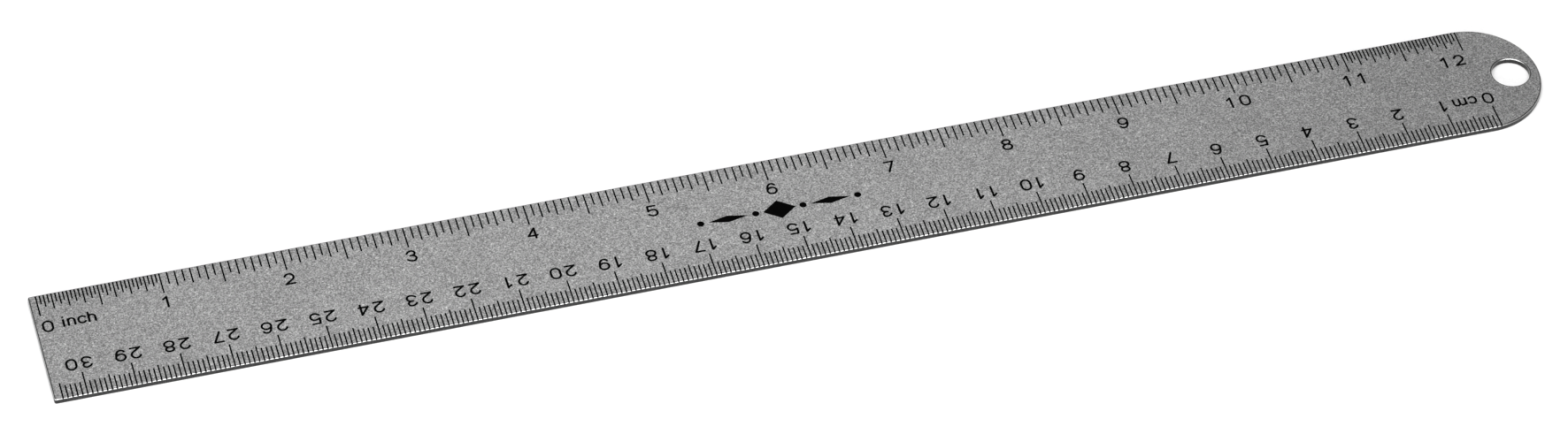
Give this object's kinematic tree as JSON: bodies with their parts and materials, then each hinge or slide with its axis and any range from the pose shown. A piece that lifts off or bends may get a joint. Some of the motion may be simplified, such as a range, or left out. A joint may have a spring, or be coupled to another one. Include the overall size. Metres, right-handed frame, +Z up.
{
  "type": "steel ruler",
  "caption": "Flat steel ruler with a square end, a round end with a hanging hole, and etched, ink-filled inch and centimetre scales on one face.",
  "frame": {"origin": "centre of the bounding box on the plane of the underside, which is the middle of the blade's underside", "axes": "+X along the blade from the square end to the round end with the hanging hole, +Y from the metric edge to the inch edge, +Z up out of the marked face"},
  "size_m": [0.32, 0.029, 0.0014],
  "materials": {
    "steel": "satin, bead blasted",
    "ink": "matte"
  },
  "bodies": {
    "root": {"blade": "steel", "whole_inch_lines": "ink", "half_inch_lines": "ink", "quarter_inch_lines": "ink", "eighth_inch_lines": "ink", "sixteenth_inch_lines": "ink", "thirty_second_inch_lines": "ink", "centimetre_lines": "ink", "half_centimetre_lines": "ink", "millimetre_lines": "ink", "inch_number_0": "ink", "inch_number_1": "ink", "inch_number_2": "ink", "inch_number_3": "ink", "inch_number_4": "ink", "inch_number_5": "ink", "inch_number_6": "ink", "inch_number_7": "ink", "inch_number_8": "ink", "inch_number_9": "ink", "inch_number_10": "ink", "inch_number_11": "ink", "inch_number_12": "ink", "centimetre_number_0": "ink", "centimetre_number_1": "ink", "centimetre_number_2": "ink", "centimetre_number_3": "ink", "centimetre_number_4": "ink", "centimetre_number_5": "ink", "centimetre_number_6": "ink", "centimetre_number_7": "ink", "centimetre_number_8": "ink", "centimetre_number_9": "ink", "centimetre_number_10": "ink", "centimetre_number_11": "ink", "centimetre_number_12": "ink", "centimetre_number_13": "ink", "centimetre_number_14": "ink", "centimetre_number_15": "ink", "centimetre_number_16": "ink", "centimetre_number_17": "ink", "centimetre_number_18": "ink", "centimetre_number_19": "ink", "centimetre_number_20": "ink", "centimetre_number_21": "ink", "centimetre_number_22": "ink", "centimetre_number_23": "ink", "centimetre_number_24": "ink", "centimetre_number_25": "ink", "centimetre_number_26": "ink", "centimetre_number_27": "ink", "centimetre_number_28": "ink", "centimetre_number_29": "ink", "centimetre_number_30": "ink", "inch_word": "ink", "centimetre_word": "ink", "ornament": "ink"}
  },
  "joints": []
}
